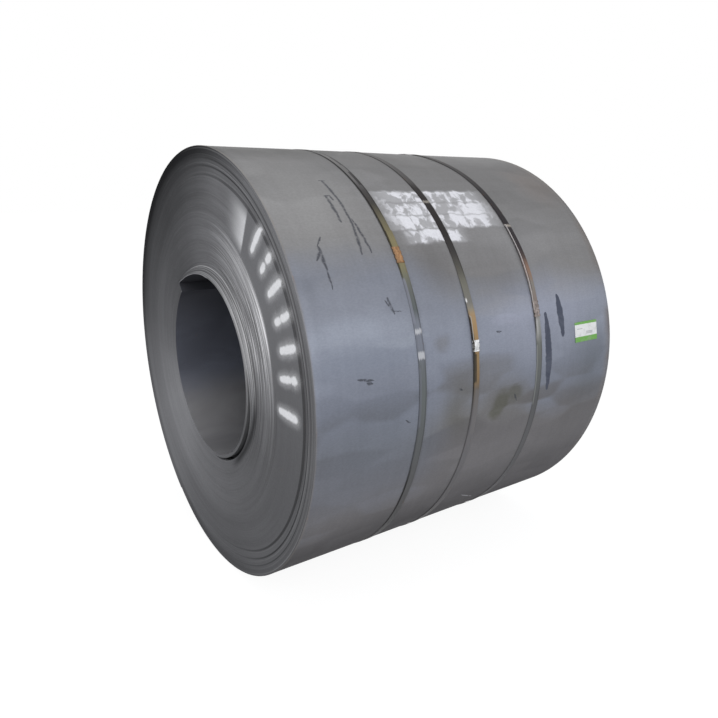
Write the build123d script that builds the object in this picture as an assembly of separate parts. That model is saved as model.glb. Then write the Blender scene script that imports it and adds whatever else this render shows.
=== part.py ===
from build123d import *
from math import cos, degrees, radians, sin, sqrt
import os

os.makedirs("parts", exist_ok=True)

# Sheet and winding, in millimetres
sheet_width = 1524
sheet_thickness = 6
turn_count = 84
bore_radius = 381
coil_depth = turn_count * sheet_thickness
coil_radius = bore_radius + coil_depth
overrun = 20

# Angles go round the bore axis from +X towards +Z, the way the sheet winds outward
head_angle = 131
climb_span = 47
head_lift_height = 46
climb_bow_share = 0.3
tail_angle = 238
tail_ramp_span = 52
tail_bow_share = 0.25

# Crescent gap outside the loose first turn
gap_start_angle = -84
gap_end_angle = 4
gap_inner_radius = bore_radius + sheet_thickness
gap_width = 6 * sheet_thickness
gap_depth = 240

# Bands of turns on the two ends from the outside in: how much of the coil's depth
# each takes, and how much of the band depth it stands back
band_depth = 14
front_turns_shares = [0.03, 0.03, 0.05, 0.03, 0.08, 0.29, 0.04, 0.15, 0.12, 0.06, 0.06, 0.06]
front_back_shares = [0.2, 0.75, 0.35, 1, 0.3, 0.1, 0.4, 0, 0.2, 0.4, 0.15, 0.1]
rear_turns_shares = [0.04, 0.09, 0.03, 0.17, 0.14, 0.04, 0.17, 0.12, 0.08, 0.12]
rear_back_shares = [0.5, 0.1, 0.8, 0.3, 0, 0.6, 0.2, 0.45, 0.7, 0.9]

# Steel straps, placed along the sheet's width from the marked end
strap_width = 32
strap_thickness = 1
strap_seat = 0.3
strap_place_shares = [0.291, 0.457, 0.686]
strap_inner_radius = coil_radius + strap_seat
strap_outer_radius = strap_inner_radius + strap_thickness

# Upper end of each strap laps over the lower one, and a notched seal grips the two
lap_lengths = [130, 130, 330]
seal_short_length = 42
seal_long_length = 63
seal_angles = [34.2, 10.7, 17.3]
seal_thickness = 1.2
seal_play = 0.3
notch_width = 8
notch_pitch = 20

# Paper label
label_length = 146
label_height = 84
label_thickness = 0.5
label_seat = 0.3
label_angle = 9.2
label_margin = 176

axis_height = strap_outer_radius
front_y = -sheet_width / 2


def at(radius, angle):
    return (radius * cos(radians(angle)), radius * sin(radians(angle)))


def place(shape):
    return Pos(0, 0, axis_height) * shape


# The XZ plane looks towards -Y, so a cut that runs back into the coil is negative
def through_cut(edges, depth):
    return Pos(0, front_y - overrun, 0) * extrude(Plane.XZ * make_face(edges), -depth - overrun)


# Piece of a ring about the axis, centred on a place along it
def ring_piece(inner_radius, outer_radius, width, middle_angle, length, middle_y):
    half_angle = degrees(length / outer_radius) / 2
    start = middle_angle - half_angle
    end = middle_angle + half_angle
    edges = [
        ThreePointArc(at(outer_radius, start), at(outer_radius, middle_angle), at(outer_radius, end)),
        Line(at(outer_radius, end), at(inner_radius, end)),
        ThreePointArc(at(inner_radius, end), at(inner_radius, middle_angle), at(inner_radius, start)),
        Line(at(inner_radius, start), at(outer_radius, start)),
    ]
    return Pos(0, middle_y, 0) * extrude(Plane.XZ * make_face(edges), width / 2, both=True)


# Points down one end of the coil, band by band, from the outer turn in to the bore
def end_steps(turns_shares, back_shares, end_y, inward):
    points = []
    radius = coil_radius
    for turns_share, back_share in zip(turns_shares, back_shares):
        y = end_y + inward * band_depth * back_share
        points.append((radius, y))
        radius = radius - coil_depth * turns_share
        points.append((radius, y))
    points[-1] = (bore_radius, y)
    return points


# Wound sheet, turned about the bore with every band of turns standing out or back
front_steps = end_steps(front_turns_shares, front_back_shares, front_y, 1)
rear_steps = end_steps(rear_turns_shares, rear_back_shares, -front_y, -1)
coil = revolve(make_face(Polyline(front_steps + rear_steps[::-1], close=True)), Axis.Y)

# Second turn climbs over the square end of the first
climb_start = head_angle - climb_span
climb_edges = [
    ThreePointArc(
        at(bore_radius, climb_start),
        at(bore_radius + head_lift_height * climb_bow_share, head_angle - climb_span / 2),
        at(bore_radius + head_lift_height, head_angle),
    ),
    Line(at(bore_radius + head_lift_height, head_angle), at(bore_radius - overrun, head_angle)),
    Line(at(bore_radius - overrun, head_angle), at(bore_radius, climb_start)),
]
coil = coil - through_cut(climb_edges, sheet_width + overrun)

# Crescent left open where the first turn has sprung inward
gap_middle = (gap_start_angle + gap_end_angle) / 2
gap_edges = [
    ThreePointArc(
        at(gap_inner_radius, gap_start_angle),
        at(gap_inner_radius, gap_middle),
        at(gap_inner_radius, gap_end_angle),
    ),
    ThreePointArc(
        at(gap_inner_radius, gap_end_angle),
        at(gap_inner_radius + gap_width, gap_middle),
        at(gap_inner_radius, gap_start_angle),
    ),
]
coil = coil - through_cut(gap_edges, gap_depth)

# Outer turn ends square, and the turn under it rises back to the full radius
ramp_end = tail_angle + tail_ramp_span
under_radius = coil_radius - sheet_thickness
tail_edges = [
    ThreePointArc(
        at(under_radius, tail_angle),
        at(coil_radius - sheet_thickness * tail_bow_share, tail_angle + tail_ramp_span / 2),
        at(coil_radius, ramp_end),
    ),
    ThreePointArc(
        at(coil_radius, ramp_end),
        at(coil_radius + overrun, tail_angle + tail_ramp_span / 2),
        at(coil_radius, tail_angle),
    ),
    Line(at(coil_radius, tail_angle), at(under_radius, tail_angle)),
]
coil = coil - through_cut(tail_edges, sheet_width + overrun)
export_step(place(coil), "parts/sheet_coil.step")

# Straps, each a flat band closed round the coil with its ends lapped
seal_lengths = [seal_long_length, seal_short_length, seal_long_length]
lap_outer_radius = strap_outer_radius + strap_thickness
for number, place_share in enumerate(strap_place_shares, start=1):
    middle_y = front_y + sheet_width * place_share
    seal_length = seal_lengths[number - 1]
    lap_length = lap_lengths[number - 1]
    lap_angle = seal_angles[number - 1] + degrees((lap_length - seal_length) / 2 / lap_outer_radius)
    ring = Circle(strap_outer_radius) - Circle(strap_inner_radius)
    strap = Pos(0, middle_y, 0) * extrude(Plane.XZ * ring, strap_width / 2, both=True)
    strap = strap + ring_piece(
        strap_outer_radius, lap_outer_radius, strap_width, lap_angle, lap_length, middle_y
    )
    export_step(place(strap), f"parts/strap_{number}.step")

# Seals, each folded down both edges of its lapped strap and notched along them
seal_inner_radius = lap_outer_radius + seal_play
seal_outer_radius = seal_inner_radius + seal_thickness
channel_width = strap_width + 2 * seal_play
seal_width = channel_width + 2 * seal_thickness
for number, place_share in enumerate(strap_place_shares, start=1):
    middle_y = front_y + sheet_width * place_share
    length = seal_lengths[number - 1]
    angle = seal_angles[number - 1]
    seal = ring_piece(strap_inner_radius, seal_outer_radius, seal_width, angle, length, middle_y)
    seal = seal - ring_piece(
        coil_radius, seal_inner_radius, channel_width, angle, length + overrun, middle_y
    )
    notch_side = notch_width / sqrt(2)
    notch = Rot(45, 0, 0) * Box(2 * overrun, notch_side, notch_side)
    notch_count = max(2, round(length / notch_pitch))
    for index in range(notch_count):
        along = (index - (notch_count - 1) / 2) * notch_pitch
        notch_angle = angle + degrees(along / seal_outer_radius)
        for side in (-1, 1):
            edge_y = middle_y + side * seal_width / 2
            seal = seal - Rot(0, -notch_angle, 0) * Pos(seal_outer_radius, edge_y, 0) * notch
    export_step(place(seal), f"parts/strap_seal_{number}.step")

# Paper label
label_inner_radius = coil_radius + label_seat
label = ring_piece(
    label_inner_radius,
    label_inner_radius + label_thickness,
    label_length,
    label_angle,
    label_height,
    -front_y - label_margin,
)
export_step(place(label), "parts/paper_label.step")
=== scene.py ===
import bpy
import numpy as np
from math import radians, pi
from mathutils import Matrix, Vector


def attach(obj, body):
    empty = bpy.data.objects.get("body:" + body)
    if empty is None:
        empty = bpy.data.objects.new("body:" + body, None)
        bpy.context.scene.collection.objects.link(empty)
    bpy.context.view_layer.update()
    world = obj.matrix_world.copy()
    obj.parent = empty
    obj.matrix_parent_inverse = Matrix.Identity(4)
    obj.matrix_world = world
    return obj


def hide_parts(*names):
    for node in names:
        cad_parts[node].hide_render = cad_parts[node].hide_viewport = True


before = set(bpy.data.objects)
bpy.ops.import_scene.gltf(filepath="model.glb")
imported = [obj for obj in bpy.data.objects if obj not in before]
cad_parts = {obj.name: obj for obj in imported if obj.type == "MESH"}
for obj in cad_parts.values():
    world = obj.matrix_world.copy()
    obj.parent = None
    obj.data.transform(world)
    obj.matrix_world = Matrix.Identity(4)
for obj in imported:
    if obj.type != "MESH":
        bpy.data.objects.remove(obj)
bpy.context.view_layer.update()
print("frame loaded")


def facingOut(points, faces):
    # sums the signed volume of each quad's two triangles, and turns the quads round if it is below zero
    a, b, c, d = (points[faces[:, k]] for k in range(4))
    volume = np.einsum("ij,ij->", a, np.cross(b, c)) + np.einsum("ij,ij->", a, np.cross(c, d))
    return faces if volume > 0 else faces[:, ::-1]


def makePiece(name, points, faces, uv=None, caps=(), sharpAngle=35, closed=True):
    # points (N, 3) and quads (M, 4) go straight into a mesh, uv holds a pair for each quad corner
    if closed:
        order = facingOut(points, faces)
        flipped = order is not faces
        faces = order
    else:
        flipped = False
    mesh = bpy.data.meshes.new(name)
    capLists = [list(cap)[::-1] if flipped else list(cap) for cap in caps]
    mesh.from_pydata(points.tolist(), [], faces.tolist() + capLists)
    if uv is not None:
        corners = uv[:, ::-1] if flipped else uv
        flat = np.zeros((len(mesh.loops), 2), np.float32)
        flat[: len(faces) * 4] = corners.reshape(-1, 2)
        layer = mesh.uv_layers.new(name="surface")
        layer.data.foreach_set("uv", flat.ravel())
    mesh.polygons.foreach_set("use_smooth", np.full(len(mesh.polygons), True))
    mesh.set_sharp_from_angle(angle=radians(sharpAngle))
    mesh.update()
    piece = bpy.data.objects.new(name, mesh)
    bpy.context.scene.collection.objects.link(piece)
    return piece


def gridFaces(rows, columns, wrapRows=False, wrapColumns=False):
    # quad (i, j) joins point (i, j) to its neighbours one row and one column on
    i = np.arange(rows if wrapRows else rows - 1)[:, None]
    j = np.arange(columns if wrapColumns else columns - 1)[None, :]
    nextI = (i + 1) % rows
    nextJ = (j + 1) % columns
    quads = [i * columns + j, i * columns + nextJ, nextI * columns + nextJ, nextI * columns + j]
    return np.stack([np.broadcast_to(q, (i.shape[0], j.shape[1])) for q in quads], -1).reshape(-1, 4)


def gridUv(acrossAt, alongAt):
    # the four corners of each quad, from one value for each row line and one for each column line
    low = np.broadcast_to(np.asarray(alongAt)[:-1, None], (len(alongAt) - 1, len(acrossAt) - 1))
    high = np.broadcast_to(np.asarray(alongAt)[1:, None], low.shape)
    left = np.broadcast_to(np.asarray(acrossAt)[None, :-1], low.shape)
    right = np.broadcast_to(np.asarray(acrossAt)[None, 1:], low.shape)
    pairs = [(left, low), (right, low), (right, high), (left, high)]
    return np.stack([np.stack(pair, -1) for pair in pairs], -2).reshape(-1, 4, 2)


def roundCurve(degreesAt, values, theta):
    # value at each angle theta, straight between the given angles and closed round the circle
    order = np.argsort(np.mod(degreesAt, 360))
    at = np.mod(degreesAt, 360)[order]
    value = np.asarray(values, float)[order]
    knots = np.r_[at[-1] - 360, at, at[0] + 360]
    return np.interp(np.mod(np.degrees(theta), 360), knots, np.r_[value[-1], value, value[0]])


def easeStep(value, low, high):
    # 0 below low and 1 above high, with a smooth rise between
    share = np.clip((value - low) / (high - low), 0, 1)
    return share * share * (3 - 2 * share)


def treeOf(*values):
    # the node tree that the first socket among the values stands in
    return next(value.id_data for value in values if isinstance(value, bpy.types.NodeSocket))


def node(tree, kind, values=None, **settings):
    # a value that is a socket gets a link, any other is set on the input itself
    made = tree.nodes.new(kind)
    for key, value in settings.items():
        setattr(made, key, value)
    for key, value in (values or {}).items():
        if isinstance(value, bpy.types.NodeSocket):
            tree.links.new(value, made.inputs[key])
        else:
            made.inputs[key].default_value = value
    return made


def maths(operation, first, second=0.0, third=0.0, clamp=False):
    values = {0: first, 1: second, 2: third}
    tree = treeOf(*values.values())
    return node(tree, "ShaderNodeMath", values, operation=operation, use_clamp=clamp).outputs[0]


def times(first, second):
    return maths("MULTIPLY", first, second)


def timesPlus(first, second, third, clamp=False):
    # first times second, plus third
    return maths("MULTIPLY_ADD", first, second, third, clamp)


def plus(first, second):
    return maths("ADD", first, second)


def minus(first, second, clamp=False):
    return maths("SUBTRACT", first, second, clamp=clamp)


def larger(first, second):
    return maths("MAXIMUM", first, second)


def vectors(operation, first, second=(0, 0, 0), out="Vector"):
    values = {0: first, 1: second}
    return node(treeOf(first, second), "ShaderNodeVectorMath", values, operation=operation).outputs[out]


def scaled(vector, by):
    return node(vector.id_data, "ShaderNodeVectorMath", {0: vector, "Scale": by}, operation="SCALE").outputs[0]


def axes(vector):
    return node(vector.id_data, "ShaderNodeSeparateXYZ", {0: vector}).outputs


def joined(x, y, z=0.0):
    return node(treeOf(x, y), "ShaderNodeCombineXYZ", {"X": x, "Y": y, "Z": z}).outputs[0]


def grey(value):
    return node(value.id_data, "ShaderNodeCombineColor", {0: value, 1: value, 2: value}).outputs[0]


def mixColour(share, first, second, blend="MIX"):
    ends = [(*c, 1) if isinstance(c, tuple) else c for c in (first, second)]
    values = {0: share, 6: ends[0], 7: ends[1]}
    return node(treeOf(share, first, second), "ShaderNodeMix", values, data_type="RGBA", blend_type=blend).outputs[2]


def shaded(colour, tint):
    # the colour multiplied by a tint
    return mixColour(1.0, colour, tint, "MULTIPLY")


def mottled(colour, value, low, high):
    # the colour made darker or lighter by a noise, down to low and up to high
    return shaded(colour, grey(spread(value, 0.3, 0.7, low, high)))


def ramp(value, stops):
    # stops are (place, colour) or (place, grey), straight between them
    made = node(value.id_data, "ShaderNodeValToRGB", {0: value})
    while len(made.color_ramp.elements) < len(stops):
        made.color_ramp.elements.new(0.5)
    for element, (place, colour) in zip(made.color_ramp.elements, stops):
        element.position = place
        element.color = (colour, colour, colour, 1) if np.isscalar(colour) else (*colour, 1)
    return made.outputs[0]


def roundRamp(angle, stops):
    # a tint by angle, from -180 to 180 degrees, the last stop the same as the first
    return ramp(timesPlus(angle, 1 / 360, 0.5), [((at + 180) / 360, value) for at, value in stops])


def spread(value, low, high, outLow=0.0, outHigh=1.0):
    # smooth rise from outLow at low to outHigh at high
    values = {0: value, 1: low, 2: high, 3: outLow, 4: outHigh}
    return node(value.id_data, "ShaderNodeMapRange", values, interpolation_type="SMOOTHSTEP").outputs[0]


def windowed(value, low, high, soft):
    # 1 between low and high, 0 outside, with soft edges
    return times(spread(value, low - soft, low + soft), spread(value, high + soft, high - soft))


def fade(value, softness):
    # 1 where the value is well below 1, 0 where it is well above
    return spread(value, plus(1.0, softness), minus(1.0, softness))


def cloud(vector, scale, detail=3.0, rough=0.5, distort=0.0):
    values = {"Vector": vector, "Scale": scale, "Detail": detail, "Roughness": rough, "Distortion": distort}
    return node(vector.id_data, "ShaderNodeTexNoise", values).outputs[0]


def shaken(vector, point, wobble):
    # the vector moved about by a noise; wobble is the noise's scale and the size of the moves in metres
    scale, size = wobble
    noise = node(point.id_data, "ShaderNodeTexNoise", {"Vector": point, "Scale": scale, "Detail": 3.0})
    moves = vectors("SUBTRACT", noise.outputs["Color"], (0.5, 0.5, 0.5))
    return vectors("ADD", vector, scaled(moves, size))


def strongest(masks):
    # the highest of several masks
    top = masks[0]
    for mask in masks[1:]:
        top = larger(top, mask)
    return top


def startGroup(name, inputs, outputs):
    # inputs with their defaults, a triple for a vector, and outputs with their kinds
    group = bpy.data.node_groups.new(name, "ShaderNodeTree")
    for label, value in inputs.items():
        kind = "Vector" if isinstance(value, tuple) else "Float"
        socket = group.interface.new_socket(label, in_out="INPUT", socket_type="NodeSocket" + kind)
        socket.default_value = value
    for label, kind in outputs.items():
        group.interface.new_socket(label, in_out="OUTPUT", socket_type="NodeSocket" + kind)
    given = group.nodes.new("NodeGroupInput").outputs
    out = group.nodes.new("NodeGroupOutput").inputs
    return group, given, out


def placeGroup(group, values):
    return node(treeOf(*values.values()), "ShaderNodeGroup", values, node_tree=group).outputs


def startMaterial(name, **sockets):
    material = bpy.data.materials.new(name)
    material.use_nodes = True
    tree = material.node_tree
    shader = tree.nodes["Principled BSDF"]
    for key, value in sockets.items():
        shader.inputs[key.replace("_", " ")].default_value = value
    point = node(tree, "ShaderNodeTexCoord").outputs["Object"]
    return material, tree, shader, point


def endMaterial(shader, colour, roughness, height, bump, metallic=None):
    # the patterns of a finish into its shader; bump is the strength and the distance of the height
    tree = shader.id_data
    tree.links.new(colour, shader.inputs["Base Color"])
    tree.links.new(roughness, shader.inputs["Roughness"])
    if metallic is not None:
        tree.links.new(metallic, shader.inputs["Metallic"])
    raised = node(tree, "ShaderNodeBump", {"Height": height, "Strength": bump[0], "Distance": bump[1]})
    tree.links.new(raised.outputs[0], shader.inputs["Normal"])


cameraView = {
    "place": (2.4780, -1.7026, 1.5898),
    "look": (-0.7944, 0.5524, -0.2528),
    "lens": 31.67,
}

cameraData = bpy.data.cameras.new("camera")
cameraData.lens = cameraView["lens"]
cameraData.sensor_width = 36
camera = bpy.data.objects.new("camera", cameraData)
camera.location = cameraView["place"]
camera.rotation_euler = Vector(cameraView["look"]).to_track_quat("-Z", "Y").to_euler()
bpy.context.scene.collection.objects.link(camera)
bpy.context.scene.camera = camera
print("camera set")


coilShape = {
    "width": 1.524,
    "bore": 0.381,
    "outer": 0.885,
    "axisHeight": 0.8863,
    "turns": 84,
    "columns": 156,
    "headAngle": 131.0,
    "tailAngle": 238.0,
    "tailRamp": 52.0,
    "thickness": 0.006,
    "gapDepth": 0.045,
    # lines on the marked end: angles from the seal side upward, and shares of the outer radius
    "boreLine": ([84, 90, 98, 110, 123, 130.8, 131.2], [0.4305, 0.434, 0.437, 0.446, 0.463, 0.480, 0.4305]),
    "gapInner": 0.4441,
    "gapWidth": (
        [-84, -79, -68, -58, -50, -36, -28, -20, -14, -8, -2, 6, 14],
        [0.0004, 0.007, 0.013, 0.018, 0.023, 0.030, 0.033, 0.033, 0.030, 0.024, 0.014, 0.006, 0.0004],
    ),
    "innerLine": (
        [131.2, 150, 40, 53, 61, 70, 79, 89, 100, 110, 120, 130.8],
        [0.533, 0.533, 0.533, 0.528, 0.525, 0.515, 0.504, 0.492, 0.482, 0.476, 0.479, 0.488],
    ),
    "bandEdge": 0.700,
    "outerLine": (
        [68, 57, 45, 31, 20, 1, -14, -33, -52, -68, -90, -150, 160, 132, 100, 80],
        [0.898, 0.908, 0.916, 0.922, 0.923, 0.922, 0.918, 0.907, 0.894, 0.882, 0.885, 0.91, 0.86, 0.838,
         0.870, 0.890],
    ),
    # how far back each band of turns stands, in millimetres, by share of the outer radius
    "markedBands": (
        [0.43, 0.437, 0.438, 0.498, 0.501, 0.531, 0.535, 0.60, 0.603, 0.686, 0.69, 0.708, 0.712, 0.873, 0.877, 0.926,
         0.930, 0.945, 0.95, 1.0],
        [1.0, 1.0, 1.6, 1.6, 4.2, 4.2, 2.8, 2.4, 1.2, 1.0, 2.6, 2.6, 1.4, 1.4, 2.0, 2.6, 9.5, 7.0, 4.5, 3.0],
    ),
    "plainBands": (
        [0.43, 0.50, 0.52, 0.62, 0.63, 0.75, 0.77, 0.86, 0.90, 0.91, 1.0],
        [11.0, 9.0, 6.0, 5.0, 9.0, 6.0, 2.0, 1.0, 4.0, 8.0, 6.0],
    ),
    # where the two middle bands begin on an even winding, and the least space between the lines, in metres
    "innerShare": 0.533,
    "outerShare": 0.930,
    "climbSpace": 0.005,
    "lineSpace": 0.004,
    # rows of each turn as shares of a turn, then seed and millimetres of its uneven depth: plain end, marked end
    "turnSteps": ([0.0, 0.35], [0.0, 0.2, 0.5, 0.8]),
    "unevenTurns": ((9, 0.8), (5, 0.55)),
    # waves round an end: times round, millimetres, phase, and phase more with each turn
    "waves": [(1, 0.9, 0.4, 0.05), (2, 0.5, 2.0, -0.09), (5, 0.25, 1.0, 0.31)],
    # how strong the uneven depth, the waves and the grooves are, by share of the outer radius
    "unevenness": ([0.43, 0.48, 0.52, 0.70, 0.71, 0.92, 0.93, 1.0], [0.4, 0.6, 1.0, 0.8, 0.35, 0.35, 0.9, 0.8]),
    # groove between turns: share of its depth on its shoulders, least depth and the most more, in millimetres
    "groove": (0.22, 0.7, 1.0),
    # depth in millimetres that the marked end evens out to away from the seals, then how much of its relief is
    # left everywhere and comes back between the angles, for the whole end and for the turns by the rim
    "evenDepth": 2.2,
    "evenLeft": (0.22, 0.78),
    "evenAngles": (-50, -5, 62, 100),
    "rimLeft": (0.3, 0.3),
    "rimAngles": (-60, -20, 45, 90),
    "rimEnds": (115, 145),
    "rimFrom": (0.915, 0.925),
    # widths at which the crescent starts and has its full depth, and its least depth, in metres
    "gapOpens": (0.0004, 0.004),
    "gapLeast": 0.002,
    # margin and wave of each rim, dents of the outside and wave of the bore, in metres
    "frontRim": (0.004, 0.0012),
    "rearRim": (0.006, 0.002),
    "dents": (0.0006, 0.0005, 0.0004),
    "boreWave": 0.0003,
    # how the outer turn climbs back from the tail, and the share of the outer radius where the drop sets in
    "tailCurve": 0.7,
    "tailTurns": (0.985, 0.01),
    "rowsAlong": 46,
    "boreRows": 22,
    "edgeRound": 0.0012,
}


def roundPoints(radius, theta, along):
    # (radius cos theta, along, axis height + radius sin theta), as rows of three
    x, z = radius * np.cos(theta), radius * np.sin(theta) + coilShape["axisHeight"]
    return np.stack([x, along, z], -1).reshape(-1, 3)


def coilColumns(shape):
    # even angles, with close pairs where the head and the tail of the sheet make a step
    even = np.linspace(0, 360, shape["columns"], endpoint=False)
    head, tail = shape["headAngle"], shape["tailAngle"]
    steps = np.array([head - 0.2, head + 0.2, tail - 0.15, tail + 0.15])
    near = np.abs(even[:, None] - steps[None, :]).min(1)
    return np.radians(np.sort(np.r_[even[near > 0.5], steps]))


def endRows(shape, theta, marked):
    # rows across an end from the bore out, each turn a groove, shoulder, crown and shoulder;
    # radius = the turn's even place stretched between the lines that wander round the end
    outer, turns = shape["outer"], shape["turns"]
    steps = np.array(shape["turnSteps"][marked])
    turnPlace = (np.arange(turns)[:, None] + steps[None, :]).ravel()
    nominal = shape["bore"] / outer + (1 - shape["bore"] / outer) * turnPlace / turns
    knots = np.array([
        shape["bore"] / outer, shape["gapInner"], shape["innerShare"], shape["bandEdge"], shape["outerShare"], 1.0])
    bore = roundCurve(*shape["boreLine"], theta) * outer
    inner = np.maximum(np.full_like(theta, shape["gapInner"] * outer), bore + shape["climbSpace"])
    gap = roundCurve(*shape["gapWidth"], theta) * outer * marked
    line = np.maximum(roundCurve(*shape["innerLine"], theta) * outer, inner + gap + shape["lineSpace"])
    edge = np.full_like(theta, shape["bandEdge"] * outer)
    outerLine = np.full_like(theta, shape["outerShare"] * outer)
    if marked:
        outerLine = roundCurve(*shape["outerLine"], theta) * outer
    curves = np.stack([bore, inner, line, edge, outerLine, np.full_like(theta, outer)])
    band = np.clip(np.searchsorted(knots, nominal + 1e-9) - 1, 0, len(knots) - 2)
    share = np.clip((nominal - knots[band]) / (knots[band + 1] - knots[band]), 0, 1)[:, None]
    low = curves[band] + np.where((band == 1)[:, None], gap[None, :], 0)
    return turnPlace, nominal, low + (curves[band + 1] - low) * share, inner, gap


def endDepth(shape, turnPlace, nominal, theta, marked):
    # depth = the band's place + a little for each turn + slow waves round the end + the groove between turns
    turn = np.floor(turnPlace + 1e-9).astype(int)
    part = turnPlace - turn
    seed, unevenBy = shape["unevenTurns"][marked]
    local = np.random.default_rng(seed)
    base = np.interp(nominal, *shape["markedBands" if marked else "plainBands"])[:, None]
    jitter = local.normal(0, unevenBy, shape["turns"] + 1)[turn][:, None]
    wobble = sum(a * np.sin(n * theta[None, :] + p + turn[:, None] * k) for n, a, p, k in shape["waves"])
    strength = np.interp(nominal, *shape["unevenness"])
    shoulder, leastGroove, moreGroove = shape["groove"]
    groove = np.where(part == 0, 1.0, np.where(part == 0.5, 0.0, shoulder))[:, None]
    grooveDepth = (leastGroove + moreGroove * local.random(shape["turns"] + 1)[turn])[:, None]
    roundEnd = 0.75 + 0.35 * np.sin(theta[None, :] * 2 + turn[:, None] * 0.7)
    depth = base + strength[:, None] * (jitter + wobble + groove * grooveDepth * roundEnd)
    if marked:
        # the bands even out on the side away from the seals
        facing = np.degrees(np.mod(theta + pi, 2 * pi) - pi)
        even, rim = (
            left[0] + left[1] * easeStep(facing, *at[:2]) * (1 - easeStep(facing, *at[2:]))
            for left, at in ((shape["evenLeft"], shape["evenAngles"]), (shape["rimLeft"], shape["rimAngles"])))
        rim = rim * (1 - easeStep(facing, *shape["rimEnds"]))
        rim = easeStep(nominal, *shape["rimFrom"])[:, None] * rim[None, :]
        depth = shape["evenDepth"] + (depth - shape["evenDepth"]) * np.maximum(even[None, :], rim)
    return np.maximum(depth, 0.0) / 1000


def buildCoil(shape):
    # closed loop of rows: marked end from the bore out, outside, plain end back in, bore; every row runs
    # round the axis, and a point is (radius cos angle, along, axis height + radius sin angle)
    theta = coilColumns(shape)
    half, outer, rounding = shape["width"] / 2, shape["outer"], shape["edgeRound"]
    turnPlace, nominal, radius, inner, gap = endRows(shape, theta, True)
    depth = endDepth(shape, turnPlace, nominal, theta, True)
    first = int(np.searchsorted(nominal, shape["gapInner"]))
    deep = np.interp(gap, shape["gapOpens"], [shape["gapLeast"], shape["gapDepth"]])
    before, after = depth[first - 1], depth[first]
    frontR = np.vstack([radius[:first], inner, inner, inner + gap, inner + gap, radius[first:]])
    frontY = np.vstack([depth[:first], before, before + deep, before + deep, after, depth[first:]]) - half
    frontTurn = np.r_[nominal[:first], [nominal[first]] * 4, nominal[first:]]
    rimFront = shape["frontRim"][0] + shape["frontRim"][1] * np.sin(3 * theta + 1)
    rimRear = shape["rearRim"][0] + shape["rearRim"][1] * np.sin(2 * theta + 2)
    share = np.linspace(0, 1, shape["rowsAlong"])[1:-1, None]
    mean, wide, narrow = shape["dents"]
    dents = mean + wide * np.sin(2 * theta + 7 * share) + narrow * np.sin(9 * share + 5 * theta)
    low, high = -half + rimFront + rounding, half - rimRear - rounding
    rounded, full = np.full_like(theta, outer - rounding), np.full_like(theta, outer)
    sideR = np.vstack([rounded, full, outer - np.maximum(dents, 0), full, rounded])
    sideY = np.vstack([low - rounding, low, low + (high - low) * share, high, high + rounding])
    turnPlace, rearTurn, rearR, _, _ = endRows(shape, theta, False)
    rearY = half - endDepth(shape, turnPlace, rearTurn, theta, False)
    boreShare = np.linspace(0, 1, shape["boreRows"])[1:-1, None]
    boreR = roundCurve(*shape["boreLine"], theta) * outer + shape["boreWave"] * np.sin(3 * theta + 4 * boreShare)
    boreY = np.broadcast_to(half - boreShare * shape["width"], boreR.shape)
    rows = [
        (frontR, frontY, frontTurn, 1),
        (sideR, sideY, np.ones(len(sideR)), 0),
        (rearR[::-1], rearY[::-1], rearTurn[::-1], 2),
        (boreR, boreY, np.full(len(boreR), shape["bore"] / outer), 3),
    ]
    rowR = np.vstack([r for r, _, _, _ in rows])
    rowY = np.vstack([y for _, y, _, _ in rows])
    turnShare = np.concatenate([t for _, _, t, _ in rows])
    finish = np.concatenate([np.full(len(r), kind) for r, _, _, kind in rows])
    # the outer turn drops by a sheet's thickness at the tail and climbs back, and the last turns follow it
    since = np.mod(np.degrees(theta) - shape["tailAngle"], 360)
    climb = (since / shape["tailRamp"]) ** shape["tailCurve"]
    drop = shape["thickness"] * np.where(since < shape["tailRamp"], 1 - climb, 0)
    tailFrom, tailOver = shape["tailTurns"]
    rowR = rowR - drop[None, :] * np.clip((rowR / outer - tailFrom) / tailOver, 0, 1)
    faces = gridFaces(len(rowR), len(theta), True, True)
    piece = makePiece("coilSheet", roundPoints(rowR, theta, rowY), faces, sharpAngle=50)
    piece.data.attributes.new("turn", "FLOAT", "POINT").data.foreach_set(
        "value", np.repeat(turnShare, len(theta)).astype(np.float32))
    return piece, np.repeat(finish, len(theta)).astype(np.int32)


coil, coilFinish = buildCoil(coilShape)
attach(coil, "root")
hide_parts("sheet_coil")
print("coil built,", len(coil.data.polygons) * 2, "triangles")


# where a point lies on the coil: along the axis, angle round it, radius, and metres along and around
coilPlace, given, out = startGroup(
    "coilPlace",
    {"Point": (0, 0, 0)},
    {"Along": "Float", "Angle": "Float", "Radius": "Float", "Spread Out": "Vector", "Turned": "Vector"},
)
parts = axes(given["Point"])
lift = minus(parts["Z"], coilShape["axisHeight"])
turnAngle = maths("ARCTAN2", lift, parts["X"])
flat = joined(parts["X"], lift, 0.0)
distance = vectors("LENGTH", flat, out="Value")
around = times(turnAngle, coilShape["outer"])
coilPlace.links.new(parts["Y"], out["Along"])
coilPlace.links.new(maths("DEGREES", turnAngle), out["Angle"])
coilPlace.links.new(distance, out["Radius"])
unrolled = joined(parts["Y"], around, distance)
coilPlace.links.new(unrolled, out["Spread Out"])
coilPlace.links.new(vectors("NORMALIZE", flat), out["Turned"])

# soft oval: 1 inside, 0 outside, by distance from the middle in half sizes
softOval, given, out = startGroup(
    "softOval",
    {"Point": (0, 0, 0), "Middle": (0, 0, 0), "Half Size": (1, 1, 1), "Softness": 0.5},
    {"Mask": "Float"},
)
away = vectors("DIVIDE", vectors("SUBTRACT", given["Point"], given["Middle"]), given["Half Size"])
reach = vectors("LENGTH", vectors("MULTIPLY", away, (1, 1, 0)), out="Value")
softOval.links.new(fade(reach, given["Softness"]), out["Mask"])

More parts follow.
